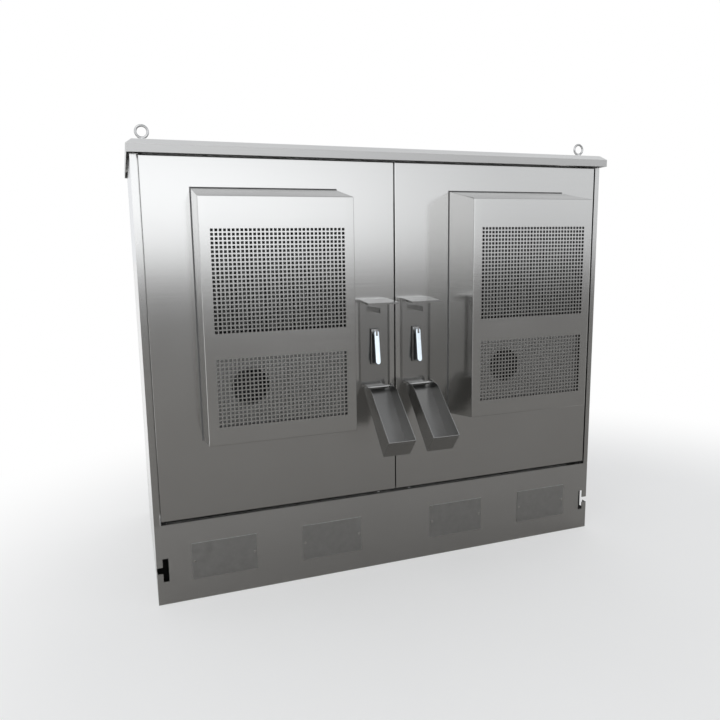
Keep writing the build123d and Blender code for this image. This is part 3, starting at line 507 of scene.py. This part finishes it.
def soften(cad_node, width, material=None):
    """A copy of a sheet piece with its cut edges slightly rounded."""
    builder = bmesh.new()
    builder.from_mesh(frame["nodes"][cad_node].data)
    bmesh.ops.remove_doubles(builder, verts=builder.verts, dist=WELD_DISTANCE)
    bmesh.ops.dissolve_limit(
        builder, angle_limit=FLAT_ANGLE, verts=builder.verts, edges=builder.edges
    )
    inner = [edge for edge in builder.edges if len(edge.link_faces) == 2]
    sharp = [edge for edge in inner if edge.calc_face_angle() > EDGE_ANGLE]
    round_edges(builder, sharp, width, EDGE_SEGMENTS, clamp=True)
    return add_piece(f"{cad_node}_sheet", builder, cad_node, material)


def shade_inside(piece, middle, material):
    """Gives the faces that look towards a middle a darker material, as painted shade of the inside.
    """
    piece.data.materials.append(material)
    for face in piece.data.polygons:
        face.material_index = int((middle - face.center).dot(face.normal) > 0)


def brighten_rim(piece, front_y):
    """Gives the front rim of a dish a metal finish, the lock steel darkened as painted shade."""
    piece.data.materials.append(SHADED_LOCK_STEEL)
    for face in piece.data.polygons:
        face.material_index = int(face.center.y < front_y + RIM_DEPTH)


# Hoods with their punched fields
def hole_edges(centre, count):
    """The low and high edge of each hole in a row about its centre."""
    first = centre - HOLE_PITCH * (count - 1) / 2
    middles = [first + HOLE_PITCH * index for index in range(count)]
    return [middle + end * HOLE_SIDE / 2 for middle in middles for end in (-1, 1)]


def punched_hood(side):
    """The hood as a folded sheet: punched front, sides, sloping foot and top, rounded bends."""
    cad_node = f"{side}_ac_hood"
    low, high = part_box(cad_node)
    front_foot = low.z + HOOD_FOOT_DROP
    front_top = high.z - HOOD_TOP_DROP
    across = hole_edges((low.x + high.x) / 2, HOLE_COLUMNS)
    lower = hole_edges(front_foot + LOWER_RISE, LOWER_ROWS)
    upper = hole_edges(front_foot + UPPER_RISE, UPPER_ROWS)
    lines_x = [low.x] + across + [high.x]
    lines_z = [front_foot] + lower + upper + [front_top]
    hole_columns = set(range(1, len(across), 2))
    hole_rows = set(range(1, len(lower), 2))
    hole_rows |= set(range(len(lower) + 1, len(lower) + len(upper), 2))

    builder = bmesh.new()
    grid = [[builder.verts.new((x, low.y, z)) for x in lines_x] for z in lines_z]
    for row in range(len(lines_z) - 1):
        for column in range(len(lines_x) - 1):
            if row in hole_rows and column in hole_columns:
                continue
            foot_pair = grid[row][column:column + 2]
            top_pair = grid[row + 1][column:column + 2]
            builder.faces.new(foot_pair + top_pair[::-1])

    # Sides, foot and top run back to the door
    stretch = (high.z - low.z) / (front_top - front_foot)
    right_rim = [row[-1] for row in grid[1:]]
    left_rim = [row[0] for row in grid[-2:0:-1]]
    rim = grid[0] + right_rim + grid[-1][-2::-1] + left_rim
    backs = []
    for vertex in rim:
        back_z = low.z + (vertex.co.z - front_foot) * stretch
        backs.append(builder.verts.new((vertex.co.x, high.y, back_z)))
    bends = []
    for index, vertex in enumerate(rim):
        following = (index + 1) % len(rim)
        builder.faces.new((rim[following], vertex, backs[index], backs[following]))
        bends.append(builder.edges.get((vertex, rim[following])))
    corners = (grid[0][0], grid[0][-1], grid[-1][-1], grid[-1][0])
    bends += [builder.edges.get((corner, backs[rim.index(corner)])) for corner in corners]
    bmesh.ops.recalc_face_normals(builder, faces=builder.faces)
    round_edges(builder, bends, HOOD_BEND, BEND_SEGMENTS, clamp=False)
    piece = add_piece(f"{side}_punched_hood", builder, cad_node)
    thicken(piece, HOOD_SHEET)
    for vertex in piece.data.vertices:
        vertex.co.y = min(vertex.co.y, high.y)


def seal_ring(builder, low, high, grow, y):
    """The four corners of the seal's outline round the hood, grown outward."""
    x = (low.x - grow, high.x + grow)
    z = (low.z - grow, high.z + grow)
    corners = ((x[0], z[0]), (x[1], z[0]), (x[1], z[1]), (x[0], z[1]))
    return [builder.verts.new((corner_x, y, corner_z)) for corner_x, corner_z in corners]


def hood_seal(side):
    """The dark bead of sealant where the hood meets the door."""
    cad_node = f"{side}_ac_hood"
    low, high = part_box(cad_node)
    builder = bmesh.new()
    rings = []
    for step in range(SEAL_SEGMENTS + 1):
        turn = math.pi / 2 * step / SEAL_SEGMENTS
        grow = SEAL_WIDTH * math.sin(turn)
        y = high.y - SEAL_WIDTH * math.cos(turn)
        rings.append(seal_ring(builder, low, high, grow, y))
    rings.append(seal_ring(builder, low, high, 0.0, high.y))
    for ring, following in zip(rings, rings[1:] + rings[:1]):
        for corner in range(len(ring)):
            after = (corner + 1) % len(ring)
            builder.faces.new((ring[corner], ring[after], following[after], following[corner]))
    bmesh.ops.recalc_face_normals(builder, faces=builder.faces)
    crease(builder)
    seal = new_object(f"{side}_hood_seal", builder, SEALANT)
    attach(seal, frame["nodes"][cad_node]["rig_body"])


# Roof
def roof_sheet():
    """The roof, with a darker copy of its steel on its upright edges as painted shade and a lighter
    copy on its slopes as painted highlight.
    """
    roof = soften("roof", SHEET_EDGE, ROOF_STEEL)
    roof.data.materials.append(FASCIA_SHADE_STEEL)
    roof.data.materials.append(SLOPE_HIGHLIGHT_STEEL)
    for face in roof.data.polygons:
        if abs(face.normal.z) < UPRIGHT_LIMIT:
            face.material_index = FASCIA_INDEX
        elif 0 < face.normal.z < LEVEL_LIMIT:
            face.material_index = SLOPE_INDEX


# Pieces
for side in SIDES:
    punched_hood(side)
    hood_seal(side)
    # Lock boxes and flaps in steel darkened as painted shade
    soften(f"{side}_lock_box", SHEET_EDGE, SHADED_LOCK_STEEL)
    low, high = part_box(f"{side}_lock_flap")
    flap = soften(f"{side}_lock_flap", SHEET_EDGE, SHADED_LOCK_STEEL)
    shade_inside(flap, (low + high) / 2, INSIDE_SHADE_STEEL)
    low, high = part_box(f"{side}_escutcheon")
    brighten_rim(soften(f"{side}_escutcheon", SHEET_EDGE), low.y)
roof_sheet()
for name in VENT_COVERS:
    soften(name, SHEET_EDGE)
soften("vent_cover_screws", SCREW_EDGE)
for name in PLINTH_WALLS:
    # Plinth walls, with their inner faces near black as painted shade
    shade_inside(soften(name, PLINTH_EDGE, PLINTH_STEEL), PLINTH_MIDDLE, PLINTH_INSIDE_SHADE)


# Stage
def stage_plane(name, corners, drop, material):
    """A flat sheet of the stage with these corners, just under the object's feet."""
    builder = bmesh.new()
    builder.faces.new([builder.verts.new((x, y, -drop)) for x, y in corners])
    sheet = new_object(name, builder, material)
    return sheet


stage_plane(
    "pale_floor",
    [(x * FLOOR_REACH, y * FLOOR_REACH) for x, y in ((-1, -1), (1, -1), (1, 1), (-1, 1))],
    FLOOR_DROP,
    fading_floor("floor_white", FLOOR_COLOUR),
)
grey_card = stage_plane(
    "grey_card",
    CARD_CORNERS,
    CARD_DROP,
    receding_card("card_grey", CARD_NEAR_GREY, CARD_FAR_GREY),
)
grey_card.visible_camera = False
grey_card.visible_diffuse = False
grey_card.visible_shadow = False


# Light
def soft_lamp():
    """A large soft lamp, high at the front left."""
    lamp = bpy.data.lights.new("high_lamp", "AREA")
    lamp.shape = "RECTANGLE"
    lamp.size, lamp.size_y = LAMP_SIZE
    lamp.energy = LAMP_STRENGTH * math.pi * LAMP_SIZE[0] * LAMP_SIZE[1]
    holder = bpy.data.objects.new("high_lamp", lamp)
    holder.location = LAMP_PLACE
    holder.rotation_euler = (LAMP_TARGET - LAMP_PLACE).to_track_quat("-Z", "Y").to_euler()
    holder.visible_camera = False
    bpy.context.scene.collection.objects.link(holder)


def studio_world():
    """Soft white light all round, brighter at the front left; the camera sees plain white."""
    world = bpy.data.worlds.new("soft_white")
    bpy.context.scene.world = world
    world.use_nodes = True
    tree = world.node_tree
    aim = node(tree, "ShaderNodeTexCoord").outputs["Generated"]
    flat = (1, 1, GLOW_FLATNESS)
    stretch = node(tree, "ShaderNodeVectorMath", {0: aim, 1: flat}, operation="MULTIPLY")
    unit = node(tree, "ShaderNodeVectorMath", {0: stretch.outputs["Vector"]}, operation="NORMALIZE")
    facing = node(
        tree,
        "ShaderNodeVectorMath",
        {0: unit.outputs["Vector"], 1: BRIGHT_SIDE.normalized()},
        operation="DOT_PRODUCT",
    )
    glow = graded(tree, facing.outputs["Value"], GLOW_EDGE, GLOW_CORE, high=GLOW)
    height = node(tree, "ShaderNodeSeparateXYZ", {0: aim}).outputs["Z"]
    overhead = graded(tree, height, OVERHEAD_START, OVERHEAD_END, low=1.0, high=OVERHEAD_SHARE)
    level = math_node(tree, "ADD", overhead, glow)
    seen = node(tree, "ShaderNodeLightPath").outputs["Is Camera Ray"]
    unseen = math_node(tree, "SUBTRACT", 1.0, seen)
    strength = math_node(tree, "ADD", math_node(tree, "MULTIPLY", level, unseen), seen)
    backdrop = find(tree, "BACKGROUND")
    feed(tree, backdrop.inputs["Strength"], strength)
    sky = two_tone(tree, seen, SKY_TINT, WHITE, low=0.0, high=1.0)
    feed(tree, backdrop.inputs["Color"], sky)


soft_lamp()
studio_world()


# Camera
def photo_camera():
    """The camera at the photo's viewpoint."""
    camera = bpy.data.cameras.new("camera")
    camera.sensor_width = SENSOR_WIDTH
    camera.lens = CAMERA_LENS
    camera.shift_x, camera.shift_y = CAMERA_SHIFT
    holder = bpy.data.objects.new("camera", camera)
    cos_pitch = math.cos(CAMERA_PITCH)
    forward = Vector((
        math.sin(CAMERA_YAW) * cos_pitch,
        math.cos(CAMERA_YAW) * cos_pitch,
        -math.sin(CAMERA_PITCH),
    ))
    level = Vector((math.cos(CAMERA_YAW), -math.sin(CAMERA_YAW), 0))
    above = level.cross(forward)
    right = math.cos(CAMERA_ROLL) * level + math.sin(CAMERA_ROLL) * above
    up = math.cos(CAMERA_ROLL) * above - math.sin(CAMERA_ROLL) * level
    turn = Matrix((right, up, -forward)).transposed()
    holder.matrix_world = Matrix.Translation(CAMERA_PLACE) @ turn.to_4x4()
    bpy.context.scene.collection.objects.link(holder)
    bpy.context.scene.camera = holder


photo_camera()
bpy.context.scene.view_settings.view_transform = "Standard"
